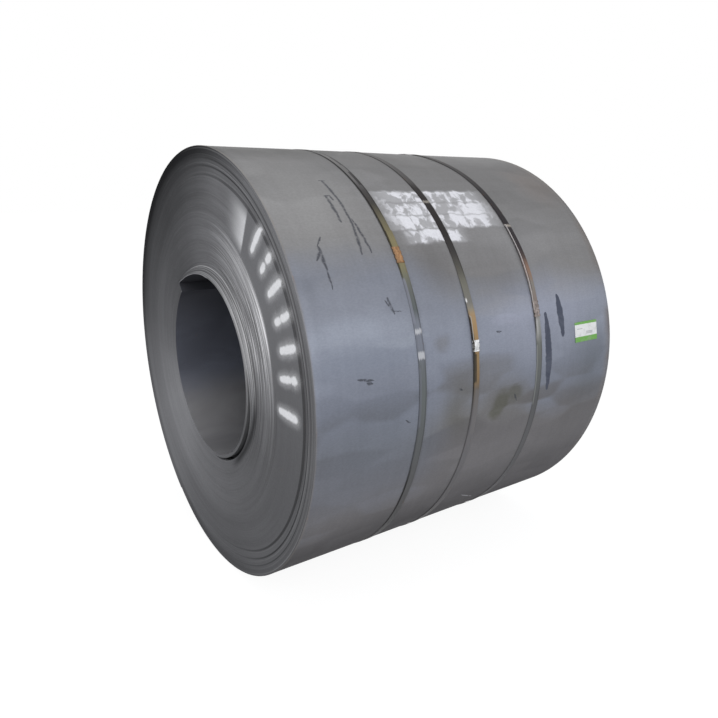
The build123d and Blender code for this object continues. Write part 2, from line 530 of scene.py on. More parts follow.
# soft block: the same by the larger of the two distances
softBlock, given, out = startGroup(
    "softBlock",
    {"Point": (0, 0, 0), "Middle": (0, 0, 0), "Half Size": (1, 1, 1), "Softness": 0.1},
    {"Mask": "Float"},
)
away = vectors("DIVIDE", vectors("SUBTRACT", given["Point"], given["Middle"]), given["Half Size"])
sides = axes(vectors("ABSOLUTE", away))
softBlock.links.new(fade(larger(sides["X"], sides["Y"]), given["Softness"]), out["Mask"])

# stroke from start to end: distance from the line between them, narrower towards both tips
softStroke, given, out = startGroup(
    "softStroke",
    {"Point": (0, 0, 0), "Start": (0, 0, 0), "End": (0, 0, 0), "Half Width": 0.01,
     "Softness": 0.3, "Taper": 0.5},
    {"Mask": "Float"},
)
run = vectors("SUBTRACT", given["End"], given["Start"])
flatPoint = vectors("MULTIPLY", given["Point"], (1, 1, 0))
fromStart = vectors("SUBTRACT", flatPoint, given["Start"])
share = maths("DIVIDE", vectors("DOT_PRODUCT", fromStart, run, "Value"),
              vectors("DOT_PRODUCT", run, run, "Value"), clamp=True)
gapTo = vectors("LENGTH", vectors("SUBTRACT", fromStart, scaled(run, share)), out="Value")
offMiddle = maths("POWER", maths("ABSOLUTE", timesPlus(share, 2.0, -1.0)), 2.0)
narrow = minus(1.0, times(offMiddle, given["Taper"]))
ratio = maths("DIVIDE", gapTo, times(given["Half Width"], narrow))
softStroke.links.new(fade(ratio, given["Softness"]), out["Mask"])

# mill grain: fine specks and slow clouds, drawn out along the rolling direction
millGrain, given, out = startGroup(
    "millGrain",
    {"Point": (0, 0, 0), "Stretch": (1, 1, 1), "Fine": 220.0, "Slow": 3.0},
    {"Grain": "Float", "Clouds": "Float"},
)
stretched = vectors("MULTIPLY", given["Point"], given["Stretch"])
millGrain.links.new(cloud(stretched, given["Fine"], 4.0, 0.6), out["Grain"])
millGrain.links.new(cloud(stretched, given["Slow"], 5.0, 0.55, 0.6), out["Clouds"])


def grainAt(point, fine, slow, stretch=(1, 1, 1)):
    return placeGroup(millGrain, {"Point": point, "Stretch": stretch, "Fine": fine, "Slow": slow})


# rust bloom: blotches with a fine crumbly edge, more of them as Amount goes up
rustBloom, given, out = startGroup(
    "rustBloom",
    {"Point": (0, 0, 0), "Scale": 30.0, "Amount": 0.5},
    {"Mask": "Float", "Colour": "Color", "Height": "Float"},
)
blotch = cloud(given["Point"], given["Scale"], 8.0, 0.7, 0.4)
crumb = cloud(given["Point"], times(given["Scale"], 7.0), 4.0, 0.6)
level = minus(1.0, given["Amount"])
rustMask = spread(blotch, level, plus(level, 0.16))
rustBloom.links.new(rustMask, out["Mask"])
rustBloom.links.new(ramp(crumb, [(0.3, (0.10, 0.035, 0.012)), (0.5, (0.30, 0.13, 0.045)), (0.7, (0.48, 0.26, 0.10))]),
                    out["Colour"])
rustBloom.links.new(times(rustMask, crumb), out["Height"])


def rustAt(point, scale, amount):
    return placeGroup(rustBloom, {"Point": point, "Scale": scale, "Amount": amount})


print("shared effects ready")


def onSide(along, angle):
    # a place on the outside, as metres along the axis and metres round it
    return (along, radians(angle) * coilShape["outer"], 0.0)


def patchOn(group, point, along, angle, halfAlong, halfAngle, softness):
    # mask of a soft oval or block on the outside, with its half sizes in metres along and degrees round
    halfSize = (halfAlong, radians(halfAngle) * coilShape["outer"], 1.0)
    values = {"Point": point, "Middle": onSide(along, angle), "Half Size": halfSize, "Softness": softness}
    return placeGroup(group, values)["Mask"]


def drawn(point, strokes, softness):
    # the strongest of several strokes on the outside, each a start, an end, a half width and a taper
    return strongest([placeGroup(softStroke, {
        "Point": point, "Start": onSide(*start), "End": onSide(*end),
        "Half Width": width, "Softness": softness, "Taper": taper,
    })["Mask"] for start, end, width, taper in strokes])


sheetFinish = {
    "greys": [(0.30, (0.206, 0.201, 0.199)), (0.5, (0.250, 0.246, 0.246)), (0.72, (0.288, 0.286, 0.289))],
    "lilac": (0.305, 0.333, 0.408),
    "slate": (0.180, 0.205, 0.262),
    "low": (0.205, 0.198, 0.206),
    "brown": (0.170, 0.140, 0.120),
    # painted light and shade: how light the outside is at each angle, from the seal side upward
    "shade": [
        (-180, 0.92), (-150, 0.88), (-120, 0.80), (-90, 0.62), (-60, 0.58), (-45, 0.62), (-35, 0.82), (-25, 0.97),
        (-16, 0.88), (-8, 0.79), (0, 0.79), (4, 0.84), (8, 0.96), (15, 1.03), (22, 0.97), (30, 0.88), (40, 0.92),
        (50, 0.87), (62, 0.75), (75, 0.61), (85, 0.60), (105, 0.66), (130, 0.80), (155, 0.90), (180, 0.92),
    ],
    # along, angle, half size along, half size in degrees, softness, strength, colour
    "tints": [
        (-0.56, 17.5, 0.22, 3.6, 0.7, 0.60, (0.400, 0.432, 0.508)),
        (-0.40, 14.6, 0.10, 0.9, 0.6, 0.45, (0.430, 0.462, 0.530)),
        (-0.48, 82.0, 0.40, 9.0, 0.7, 0.90, (0.150, 0.150, 0.147)),
        (-0.36, 62.0, 0.12, 6.0, 0.8, 0.40, (0.190, 0.190, 0.190)),
        (-0.02, 75.0, 0.10, 6.0, 0.9, 0.45, (0.175, 0.170, 0.165)),
        (0.32, 34.0, 0.26, 9.0, 0.9, 0.50, (0.320, 0.318, 0.325)),
        (0.12, 15.6, 0.085, 1.2, 0.5, 0.50, (0.385, 0.400, 0.490)),
        (0.34, 16.0, 0.26, 8.0, 0.9, 0.50, (0.370, 0.390, 0.480)),
        (-0.04, 1.0, 0.08, 3.0, 0.8, 0.40, (0.300, 0.310, 0.350)),
        (-0.52, 12.0, 0.22, 3.2, 0.8, 0.45, (0.255, 0.285, 0.350)),
        (-0.50, -8.0, 0.24, 8.0, 0.8, 0.50, (0.222, 0.246, 0.292)),
        (-0.22, 12.6, 0.034, 1.8, 0.6, 0.45, (0.19, 0.185, 0.185)),
        (0.075, -5.8, 0.042, 3.9, 0.35, 0.62, (0.118, 0.118, 0.080)),
        (0.148, -3.6, 0.040, 1.9, 0.45, 0.55, (0.125, 0.125, 0.092)),
        (-0.15, -4.0, 0.050, 6.0, 0.9, 0.40, (0.155, 0.150, 0.125)),
        (0.64, 2.0, 0.11, 10.0, 0.9, 0.45, (0.160, 0.182, 0.205)),
        (-0.62, 52.0, 0.17, 15.0, 0.9, 0.60, (0.335, 0.332, 0.328)),
        (0.66, 58.0, 0.10, 8.0, 0.9, 0.45, (0.270, 0.225, 0.200)),
        (-0.16, 30.0, 0.09, 5.5, 0.9, 0.40, (0.190, 0.186, 0.190)),
        (0.12, 29.0, 0.11, 6.0, 0.9, 0.40, (0.195, 0.190, 0.192)),
    ],
    # start along and angle, end along and angle, half width, taper
    "scratches": [
        ((-0.5060, 52.1), (-0.4800, 52.1), 0.0029, 0.5),
        ((-0.4995, 52.1), (-0.4980, 43.8), 0.0056, 0.4),
        ((-0.4830, 58.0), (-0.4560, 57.8), 0.0029, 0.5),
        ((-0.4690, 57.6), (-0.4580, 51.0), 0.0054, 0.3),
        ((-0.4580, 51.6), (-0.4560, 43.0), 0.0052, 0.3),
        ((-0.4560, 43.6), (-0.4700, 35.0), 0.0054, 0.5),
        ((-0.4480, 44.4), (-0.4280, 35.4), 0.0047, 0.5),
        ((-0.4840, 51.8), (-0.4820, 50.8), 0.0045, 0.2),
        ((-0.6300, 37.6), (-0.6040, 40.0), 0.0029, 0.5),
        ((-0.6500, 34.3), (-0.6250, 36.6), 0.0049, 0.5),
        ((-0.6280, 37.4), (-0.6260, 32.0), 0.0063, 0.5),
        ((-0.6270, 33.0), (-0.6260, 27.6), 0.0034, 0.6),
        ((-0.4360, 23.8), (-0.4250, 22.6), 0.0040, 0.4),
        ((-0.4240, 24.4), (-0.4100, 20.8), 0.0049, 0.4),
        ((-0.4180, 21.4), (-0.3780, 21.2), 0.0020, 0.6),
        ((-0.5930, 8.1), (-0.5280, 7.2), 0.0045, 0.7),
        ((-0.5580, 7.0), (-0.5330, 6.6), 0.0056, 0.7),
        ((0.0540, 13.2), (0.0770, 13.0), 0.0038, 0.5),
        ((-0.3980, -3.4), (-0.3730, -4.4), 0.0036, 0.7),
        ((0.1520, -3.8), (0.1670, -5.6), 0.0040, 0.6),
        ((-0.1480, 1.2), (-0.1330, 0.6), 0.0034, 0.6),
    ],
    "penStrokes": [((0.3400, 15.6), (0.3465, -4.4), 0.0190, 0.62), ((0.4290, 19.8), (0.4360, 9.2), 0.0185, 0.60)],
    # scale of the noise that shakes the drawn marks and the chalk, and how far, in metres
    "drawnWobble": (40.0, 0.013),
    "chalkWobble": (22.0, 0.035),
    "penColour": (0.055, 0.064, 0.096),
    "scratchColour": (0.055, 0.058, 0.070),
    "chalkTick": ((0.075, -38.4), (0.185, -43.2), 0.0036, 0.6),
    # along from and to, angle from and to, for each row in the chalky patch
    "chalkRows": [
        (-0.298, 0.238, 49.4, 53.7), (-0.298, 0.238, 45.1, 49.5), (-0.294, 0.240, 40.9, 45.2),
        (-0.245, 0.030, 37.0, 40.8),
    ],
    # length and height of one dab in metres
    "chalkDab": (0.046, 0.0643),
    # middle along and angle, half size along and in degrees, strength of the smears between the dabs
    "chalkSmears": [
        (0.140, 45.4, 0.125, 4.6, 0.85), (-0.165, 45.5, 0.120, 3.4, 0.45), (-0.10, 39.5, 0.13, 1.8, 0.5),
        (0.0, 52.0, 0.30, 1.6, 0.25),
    ],
    "chalkColour": (0.86, 0.86, 0.90),
    "wornEdge": (0.26, 0.235, 0.21),
    # colour of the dirt and painted shadow beside the straps
    "strapDirtAndShadow": (0.085, 0.080, 0.075),
    "bump": (0.30, 0.002),
}


def buildSheetSide(finish):
    # mill scale on the outside: grey clouds, lilac and slate tints, stains, scratches, pen strokes and chalk
    material, tree, shader, point = startMaterial("sheetSide", Metallic=0.08, Specular_IOR_Level=0.15)
    where = placeGroup(coilPlace, {"Point": point})
    along, angle, out = where["Along"], where["Angle"], where["Spread Out"]
    grain = grainAt(point, 210.0, 3.4, (0.6, 0.45, 1.0))
    patches = node(tree, "ShaderNodeTexVoronoi", {
        "Vector": vectors("MULTIPLY", point, (6.0, 4.0, 13.0)), "Scale": 1.0, "Smoothness": 0.35,
    }, feature="SMOOTH_F1")
    patchGrey = node(tree, "ShaderNodeSeparateColor", {0: patches.outputs["Color"]}).outputs[0]
    blotch = cloud(vectors("MULTIPLY", point, (9.0, 6.0, 16.0)), 1.0, 5.0, 0.6, 0.8)
    streaks = cloud(vectors("MULTIPLY", point, (34.0, 2.2, 34.0)), 1.0, 5.0, 0.62, 0.4)
    tone = timesPlus(grain["Clouds"], 0.5, timesPlus(blotch, 0.25, times(streaks, 0.25)))
    colour = ramp(tone, finish["greys"])
    # lilac band between two edges that drift along the coil, moved about by the clouds and the patches
    wander = timesPlus(grain["Clouds"], 14.0, timesPlus(patchGrey, 7.0, -10.5))
    shifted = plus(angle, wander)
    upEdge = spread(along, -0.42, -0.08, 34.0, 22.0)
    lowEdge = plus(spread(along, -0.42, -0.12, -6.0, 1.0), spread(along, 0.08, 0.40, 0.0, -8.0))
    upper = spread(minus(shifted, upEdge), 7.0, -7.0)
    lower = spread(minus(shifted, lowEdge), -6.0, 6.0)
    facing = spread(maths("ABSOLUTE", angle), 165.0, 110.0)
    lowShare = times(times(spread(shifted, 2.0, -14.0), facing), 0.85)
    colour = mixColour(lowShare, colour, finish["low"])
    lilac = times(times(upper, lower), spread(angle, 26.0, 10.0, 0.68, 0.88))
    colour = mixColour(lilac, colour, finish["lilac"])
    slate = times(spread(shifted, 2.0, -12.0), spread(shifted, -34.0, -18.0))
    slate = times(slate, spread(along, -0.12, -0.34))
    colour = mixColour(times(slate, 0.4), colour, finish["slate"])
    for middle, at, halfAlong, halfAngle, soft, strength, tint in finish["tints"]:
        moved = vectors("ADD", out, joined(timesPlus(patchGrey, 0.05, -0.025), timesPlus(blotch, 0.07, -0.035)))
        mask = patchOn(softOval, moved, middle, at, halfAlong, halfAngle, soft)
        colour = mixColour(times(mask, strength), colour, tint)
    # painted light and shade: lighter and darker by angle, more so towards one end or the other
    top = times(spread(angle, 28.0, 46.0), spread(angle, 78.0, 66.0))
    low = spread(angle, 5.0, -9.0)
    shadeSlope = timesPlus(top, -0.18, timesPlus(low, -0.15, 0.07))
    shadeSlope = times(timesPlus(spread(angle, -28.0, -42.0), 0.24, shadeSlope), facing)
    shadeSlope = timesPlus(shadeSlope, spread(along, -0.65, 0.65, -1.0, 1.0), 1.0)
    patchTone = timesPlus(patchGrey, 0.17, 0.915)
    wisps = cloud(vectors("MULTIPLY", point, (3.0, 30.0, 3.0)), 1.0, 4.0, 0.65, 0.5)
    patchTone = timesPlus(wisps, 0.16, minus(patchTone, 0.08))
    colour = shaded(colour, grey(times(patchTone, shadeSlope)))
    # painted shade by angle
    colour = shaded(colour, roundRamp(angle, finish["shade"]))
    # brown bloom towards the plain end, and a worn bright line with rust along the near edge
    rust = rustAt(point, 16.0, 0.42)
    farShare = times(spread(along, 0.70, 0.76), spread(grain["Clouds"], 0.35, 0.6))
    colour = mixColour(times(farShare, 0.75), colour, finish["brown"])
    nearEdge = spread(timesPlus(blotch, 0.010, along), -0.745, -0.752)
    colour = mixColour(times(nearEdge, 0.35), colour, finish["wornEdge"])
    edgeRust = times(rust["Mask"], larger(farShare, times(nearEdge, 0.6)))
    colour = mixColour(times(edgeRust, 0.5), colour, rust["Colour"])
    # dirt and painted shadow drawn out beside the straps
    for strap in straps:
        gap = maths("ABSOLUTE", minus(along, strap["middle"]))
        dirt = times(spread(gap, 0.026, 0.015), spread(blotch, 0.3, 0.6))
        colour = mixColour(times(dirt, 0.18), colour, finish["strapDirtAndShadow"])
    # drawn marks, wobbling a little
    marked = shaken(out, point, finish["drawnWobble"])
    scratched = drawn(marked, finish["scratches"], 0.75)
    broken = spread(cloud(point, 90.0, 4.0), 0.32, 0.50, 0.45, 1.0)
    scratched = times(scratched, broken)
    colour = mixColour(times(scratched, 0.85), colour, finish["scratchColour"])
    inked = drawn(marked, finish["penStrokes"], 0.18)
    inked = times(inked, spread(blotch, 0.35, 0.55, 0.78, 0.92))
    colour = mixColour(inked, colour, finish["penColour"])
    # chalky patch: rows of plain dabs, broken and smeared, that stand for nothing
    chalkPlace = shaken(out, point, finish["chalkWobble"])
    dabAlong, dabAround = finish["chalkDab"]
    turned = node(tree, "ShaderNodeMapping", {
        "Vector": chalkPlace, "Rotation": (0, 0, radians(24)), "Scale": (44.0, 30.0, 1.0)}).outputs[0]
    blots = cloud(turned, 1.0, 3.0, 0.55, 0.6)
    cells = node(tree, "ShaderNodeMapping", {
        "Vector": chalkPlace, "Location": (0.0, 0.5, 0.0), "Scale": (1 / dabAlong, 1 / dabAround, 0.0)}).outputs[0]
    dabs = node(tree, "ShaderNodeTexVoronoi", {"Vector": cells, "Scale": 1.0, "Randomness": 0.6}).outputs["Distance"]
    dabs = timesPlus(blots, -0.7, plus(dabs, 0.35))
    smear = strongest([
        patchOn(softBlock, chalkPlace, (left + right) / 2, (low + high) / 2,
                (right - left) / 2, (high - low) / 2, 0.30)
        for left, right, low, high in finish["chalkRows"]])
    chalk = times(smear, spread(dabs, 0.78, 0.30))
    smudge = strongest([
        times(strength, patchOn(softOval, chalkPlace, middle, at, halfAlong, halfAngle, 0.45))
        for middle, at, halfAlong, halfAngle, strength in finish["chalkSmears"]])
    level = timesPlus(chalk, 0.62, timesPlus(blots, 0.50, times(smudge, 0.42)))
    bright = times(spread(level, 0.18, 0.98), smear)
    tick = drawn(out, [finish["chalkTick"]], 0.5)
    tick = times(tick, spread(blots, 0.3, 0.55))
    white = larger(times(bright, 0.94), times(tick, 0.45))
    colour = mixColour(larger(white, times(smear, 0.32)), colour, finish["chalkColour"])
    colour = mottled(colour, grain["Grain"], 0.95, 1.05)
    roughness = timesPlus(blotch, 0.22, 0.36)
    roughness = timesPlus(white, 0.25, roughness)
    roughness = timesPlus(spread(angle, -12.0, -42.0, 0.0, 0.40), facing, roughness, clamp=True)
    height = timesPlus(grain["Grain"], 0.25, times(grain["Clouds"], 1.2))
    height = minus(height, times(scratched, 0.5))
    height = plus(height, times(white, 0.2))
    endMaterial(shader, colour, roughness, height, finish["bump"])
    return material


def onEnd(radiusShare, angle):
    # a place on the marked end, as metres from the axis and metres round the spray marks' circle
    return (radiusShare * coilShape["outer"], radians(angle) * coilShape["outer"], 0.0)


endFinish = {
    "base": [(0.25, (0.128, 0.127, 0.131)), (0.5, (0.150, 0.150, 0.154)), (0.75, (0.170, 0.170, 0.175))],
    "flat": (0.150, 0.150, 0.155),
    "streaks": [
        (0.05, (0.15, 0.15, 0.155)), (0.35, (0.29, 0.29, 0.30)), (0.65, (0.43, 0.43, 0.445)),
        (1.0, (0.70, 0.70, 0.715)),
    ],
    # how bright the painted highlight's streaks are, by share of the outer radius
    "acrossBand": [
        (0.43, 0.26), (0.445, 0.26), (0.458, 0.16), (0.475, 0.10), (0.49, 0.12), (0.515, 0.0), (0.53, 0.02),
        (0.55, 0.14), (0.58, 0.10), (0.62, 0.18), (0.655, 0.34), (0.69, 0.36), (0.705, 0.20),
    ],
    # bright colour of the painted glints on thin turn edges
    "glintBright": (0.50, 0.50, 0.52),
    # near-black colour of the painted shade on the outer turns and beside the crescent gap
    "rim": (0.018, 0.018, 0.019),
    # painted light and shade by angle: how light the end is, then its inner turns beside that, how bright the painted
    # highlight's streaks are, and how black the painted shade on the outer turns is
    "shadeByAngle": [
        (-180, 1.12), (-170, 1.36), (-150, 1.69), (-130, 1.60), (-110, 1.23), (-90, 1.05), (-75, 0.96), (-60, 1.02),
        (-45, 1.01), (-30, 0.99), (-15, 1.02), (5, 1.18), (30, 1.50), (65, 1.36), (75, 1.30), (90, 0.82), (105, 0.56),
        (120, 0.50), (135, 0.57), (150, 0.70), (170, 0.89), (180, 1.12),
    ],
    "innerShadeByAngle": [
        (-180, 1.20), (-150, 1.23), (-110, 1.29), (-75, 1.27), (-60, 1.10), (-15, 1.0), (75, 1.0), (90, 1.40),
        (105, 1.55), (120, 1.50), (135, 1.38), (150, 1.34), (170, 1.30), (180, 1.20),
    ],
    "highlightByAngle": [
        (-180, 0.0), (-25, 0.0), (-8, 0.15), (3, 0.45), (12, 0.8), (22, 1.0), (40, 0.92), (55, 0.62), (68, 0.26),
        (80, 0.0), (180, 0.0),
    ],
    "rimShadeByAngle": [
        (-180, 0.38), (-150, 0.32), (-130, 0.26), (-110, 0.45), (-90, 0.30), (-60, 0.12), (-30, 0.0), (20, 0.0),
        (57, 0.12), (75, 0.60), (90, 0.80), (105, 0.95), (135, 0.92), (150, 0.65), (165, 0.48), (180, 0.38),
    ],
    # angles from and to, and softness, of the lines near the rim and of those near the bore
    "rimLines": (-62.0, 84.0, 22.0),
    "boreLines": (-14.0, 112.0, 22.0),
    # the lines where a band of turns steps, the dark ones painted shade in the gaps and the bright ones painted
    # highlights on the edges: share of the outer radius from and to, grey, strength
    "steps": [
        (0.9200, 0.9300, 0.03, 0.60), (0.9330, 0.9350, 0.50, 0.12), (0.9480, 0.9530, 0.02, 0.70),
        (0.9570, 0.9590, 0.55, 0.15), (0.9680, 0.9720, 0.02, 0.50), (0.9780, 0.9800, 0.50, 0.12),
        (0.9925, 0.9955, 0.45, 0.30), (0.5020, 0.5080, 0.70, 0.60), (0.5330, 0.5370, 0.03, 0.20),
        (0.4980, 0.5005, 0.03, 0.30), (0.4530, 0.4560, 0.70, 0.60), (0.4600, 0.4640, 0.03, 0.60),
        (0.4760, 0.4785, 0.70, 0.50), (0.4820, 0.4850, 0.03, 0.25), (0.4400, 0.4470, 0.60, 0.35),
        (0.4900, 0.4940, 0.62, 0.35),
    ],
    # radius share and angle of each sprayed mark, then its dashes and dots: two ends as steps in radius, and width
    "sprayed": [
        (0.853, 47.0, [(-0.046, 0.046, 1.4)]),
        (0.853, 39.6, [(-0.040, -0.020, 1.5), (0.022, 0.042, 1.5)]),
        (0.853, 32.4, [(-0.044, 0.046, 1.5)]),
        (0.850, 24.5, [(-0.044, -0.026, 1.5), (0.004, 0.044, 1.4)]),
        (0.848, 16.7, [(-0.048, 0.046, 1.5)]),
        (0.822, 9.0, [(-0.052, 0.008, 1.4), (0.036, 0.048, 1.6)]),
        (0.802, -0.9, [(-0.056, 0.052, 1.6)]),
    ],
    "sprayHalf": 0.0125,
    "sprayWobble": (60.0, 0.012),
    "sprayColour": (0.96, 0.96, 0.97),
    "headEdgeHighlight": (0.62, 0.62, 0.64),
    # white of the painted highlight on the step above the marks
    "haze": (0.86, 0.86, 0.87),
    # dark colour of the painted shade inside the crescent gap
    "gapShade": (0.09, 0.09, 0.095),
    "bump": (0.30, 0.002),
    "plainRim": (0.05, 0.046, 0.044),
    "plainBump": (0.4, 0.002),
}


# edges of the wound turns: thin bright and dark rings that follow each turn, and broad soft ones
turnLines, given, out = startGroup(
    "turnLines",
    {"Turned": (0, 0, 0), "Turn": 0.0},
    {"Fine": "Float", "Broad": "Float", "Sharp": "Float"},
)


def ringNoise(turned, turn, across, around, detail, rough):
    # noise that changes quickly from turn to turn and slowly round the coil
    flatParts = axes(scaled(turned, around))
    return cloud(joined(times(turn, across), flatParts["X"], flatParts["Y"]), 1.0, detail, rough)


fineRing = ringNoise(given["Turned"], given["Turn"], 170.0, 1.3, 3.0, 0.6)
broadRing = ringNoise(given["Turned"], given["Turn"], 26.0, 0.9, 3.0, 0.5)
sharpRing = ringNoise(given["Turned"], given["Turn"], 330.0, 3.5, 2.0, 0.7)
turnLines.links.new(spread(fineRing, 0.36, 0.64), out["Fine"])
turnLines.links.new(spread(broadRing, 0.35, 0.65), out["Broad"])
turnLines.links.new(spread(sharpRing, 0.58, 0.72), out["Sharp"])


def buildMarkedEnd(finish):
    # sheared edges of the turns: a bright brushed band of bare edges with a painted highlight by the bore, a flat
    # band with sprayed marks, painted shade on the dark rim, and painted light and shade by angle
    material, tree, shader, point = startMaterial("markedEnd", Specular_IOR_Level=0.0)
    where = placeGroup(coilPlace, {"Point": point})
    angle, radius = where["Angle"], where["Radius"]
    unrolled = axes(where["Spread Out"])
    out = joined(unrolled["Z"], unrolled["Y"], 0.0)
    share = maths("DIVIDE", radius, coilShape["outer"])
    turn = node(tree, "ShaderNodeAttribute", attribute_name="turn").outputs["Fac"]
    lines = placeGroup(turnLines, {"Turned": where["Turned"], "Turn": turn})
    grain = grainAt(point, 260.0, 4.0)
    tone = timesPlus(lines["Broad"], 0.35, timesPlus(lines["Fine"], 0.25, times(grain["Clouds"], 0.4)))
    colour = ramp(tone, finish["base"])
    # flat band that the spray stands on
    flatBand = times(windowed(share, 0.712, 0.925, 0.006), windowed(angle, -38.0, 62.0, 10.0))
    colour = mixColour(times(flatBand, 0.85), colour, finish["flat"])
    calm = minus(1.0, windowed(angle, -30.0, 85.0, 20.0))
    colour = mixColour(times(calm, 0.60), colour, finish["flat"])
    # painted light and shade by angle, over the whole end and again on its inner turns
    colour = shaded(colour, roundRamp(angle, finish["shadeByAngle"]))
    colour = mixColour(spread(share, 0.80, 0.66), colour, shaded(colour, roundRamp(angle, finish["innerShadeByAngle"])))
    # bare sheared edges with a painted highlight: bright streaks between the bore and that band, brightest beside it
    fromEdge = minus(share, spread(angle, 8.0, 32.0, 0.684, 0.702))
    band = times(roundRamp(angle, finish["highlightByAngle"]), spread(fromEdge, 0.008, -0.006))
    streak = timesPlus(lines["Broad"], 0.14, ramp(share, [(at, (v, v, v)) for at, v in finish["acrossBand"]]))
    streak = timesPlus(lines["Fine"], 0.80, timesPlus(lines["Sharp"], 0.50, streak))
    streak = minus(streak, 0.25)
    colour = mixColour(times(band, 0.92), colour, ramp(streak, finish["streaks"]))
    # faint painted glints on thin turn edges everywhere else
    thin = times(lines["Sharp"], minus(1.0, flatBand))
    colour = mixColour(times(thin, 0.06), colour, finish["glintBright"])
    # painted shade: near-black outer turns, widest over the top
    wander = timesPlus(grain["Clouds"], 0.02, share)
    rimBand = times(spread(wander, 0.937, 0.983), roundRamp(angle, finish["rimShadeByAngle"]))
    colour = mixColour(rimBand, colour, finish["rim"])
    upperShade = times(spread(wander, 0.86, 0.95), windowed(angle, 84.0, 172.0, 16.0))
    colour = mixColour(times(upperShade, 0.45), colour, finish["rim"])
    # painted shade and highlights along the steps between bands of turns
    for low, high, tint, strength in finish["steps"]:
        reach = finish["rimLines" if low > 0.9 else "boreLines"]
        line = times(windowed(turn, low, high, 0.0012), windowed(angle, *reach))
        colour = mixColour(times(line, strength), colour, (tint, tint, tint))
    # painted shadow on the turns outside the crescent gap, and a painted highlight on the cut edge over the head end
    reach = minus(share, spread(angle, -50.0, -8.0, -0.010, 0.020))
    shadow = times(windowed(reach, 0.478, 0.506, 0.014), windowed(angle, -56.0, -7.0, 9.0))
    colour = mixColour(times(shadow, 0.72), colour, finish["rim"])
    headEdgeHighlight = times(spread(turn, 0.4360, 0.4325), windowed(angle, 82.0, 131.0, 3.0))
    colour = mixColour(times(headEdgeHighlight, 0.75), colour, finish["headEdgeHighlight"])
    # painted highlight: white haze where light catches the step above the marks, cut off sharply on the side of the
    # marks
    beyond = minus(angle, timesPlus(share, 14.1, 42.0))
    haze = times(spread(beyond, -0.5, 0.4), maths("POWER", spread(beyond, 18.0, -2.0), 2.1))
    haze = times(haze, windowed(share, 0.735, 0.880, 0.035))
    colour = mixColour(times(haze, 0.92), colour, finish["haze"])
    # sprayed marks, plain dashes and dots, each with a halo of overspray
    sprayPlace = shaken(out, point, finish["sprayWobble"])
    cores, halos = [], []
    for at, degreesAt, strokes in finish["sprayed"]:
        for fromR, toR, wide in strokes:
            start, end = onEnd(at + fromR, degreesAt), onEnd(at + toR, degreesAt)
            for masks, wider, softness in ((cores, 0, 0.45), (halos, 0.8, 0.98)):
                masks.append(placeGroup(softStroke, {
                    "Point": sprayPlace, "Start": start, "End": end, "Taper": 0.1,
                    "Half Width": finish["sprayHalf"] * (wide + wider), "Softness": softness})["Mask"])
    halo = times(strongest(halos), spread(grain["Grain"], 0.25, 0.75, 0.25, 0.5))
    spray = larger(strongest(cores), halo)
    colour = mixColour(spray, colour, finish["sprayColour"])
    rust = rustAt(point, 22.0, 0.36)
    colour = mixColour(times(rust["Mask"], 0.12), colour, rust["Colour"])
    colour = mottled(colour, grain["Grain"], 0.94, 1.06)
    bare = times(band, minus(1.0, spray, clamp=True))
    metallic = timesPlus(bare, 0.50, 0.04)
    # painted shade inside the crescent gap
    gapShade = spread(where["Along"], -0.748, -0.738)
    colour = mixColour(gapShade, colour, finish["gapShade"])
    roughness = timesPlus(lines["Fine"], -0.12, timesPlus(flatBand, 0.10, 0.55))
    roughness = timesPlus(spray, 0.3, roughness, clamp=True)
    height = timesPlus(lines["Fine"], 0.6, times(grain["Grain"], 0.15))
    height = times(height, minus(1.0, larger(times(flatBand, 0.8), times(calm, 0.6))))
    endMaterial(shader, colour, roughness, height, finish["bump"], metallic)
    return material


def buildPlainEnd(finish):
    # the other end, the same turns with a darker outer rim, a little rust and no marks
    material, tree, shader, point = startMaterial("plainEnd", Metallic=0.35, Specular_IOR_Level=0.25)
    where = placeGroup(coilPlace, {"Point": point})
    turn = node(tree, "ShaderNodeAttribute", attribute_name="turn").outputs["Fac"]
    lines = placeGroup(turnLines, {"Turned": where["Turned"], "Turn": turn})
    grain = grainAt(point, 260.0, 4.0)
    tone = timesPlus(lines["Broad"], 0.35, timesPlus(lines["Fine"], 0.3, times(grain["Clouds"], 0.35)))
    colour = ramp(tone, finish["base"])
    # painted glints on thin turn edges
    colour = mixColour(times(lines["Sharp"], 0.35), colour, finish["glintBright"])
    rimBand = times(spread(timesPlus(grain["Clouds"], 0.03, turn), 0.95, 1.0), 0.7)
    colour = mixColour(rimBand, colour, finish["plainRim"])
    rust = rustAt(point, 18.0, 0.43)
    rusty = times(rust["Mask"], timesPlus(lines["Broad"], 0.4, 0.1))
    colour = mixColour(rusty, colour, rust["Colour"])
    roughness = timesPlus(lines["Fine"], -0.14, timesPlus(rusty, 0.3, 0.52), clamp=True)
    height = timesPlus(lines["Fine"], 0.6, times(grain["Grain"], 0.15))
    endMaterial(shader, colour, roughness, height, finish["plainBump"])
    return material


boreFinish = {
    # painted shade over the top, the wall's own slate, and painted light below
    "dark": (0.062, 0.063, 0.072),
    "slate": (0.145, 0.155, 0.190),
    "pale": (0.290, 0.286, 0.293),
    "bump": (0.25, 0.002),
}


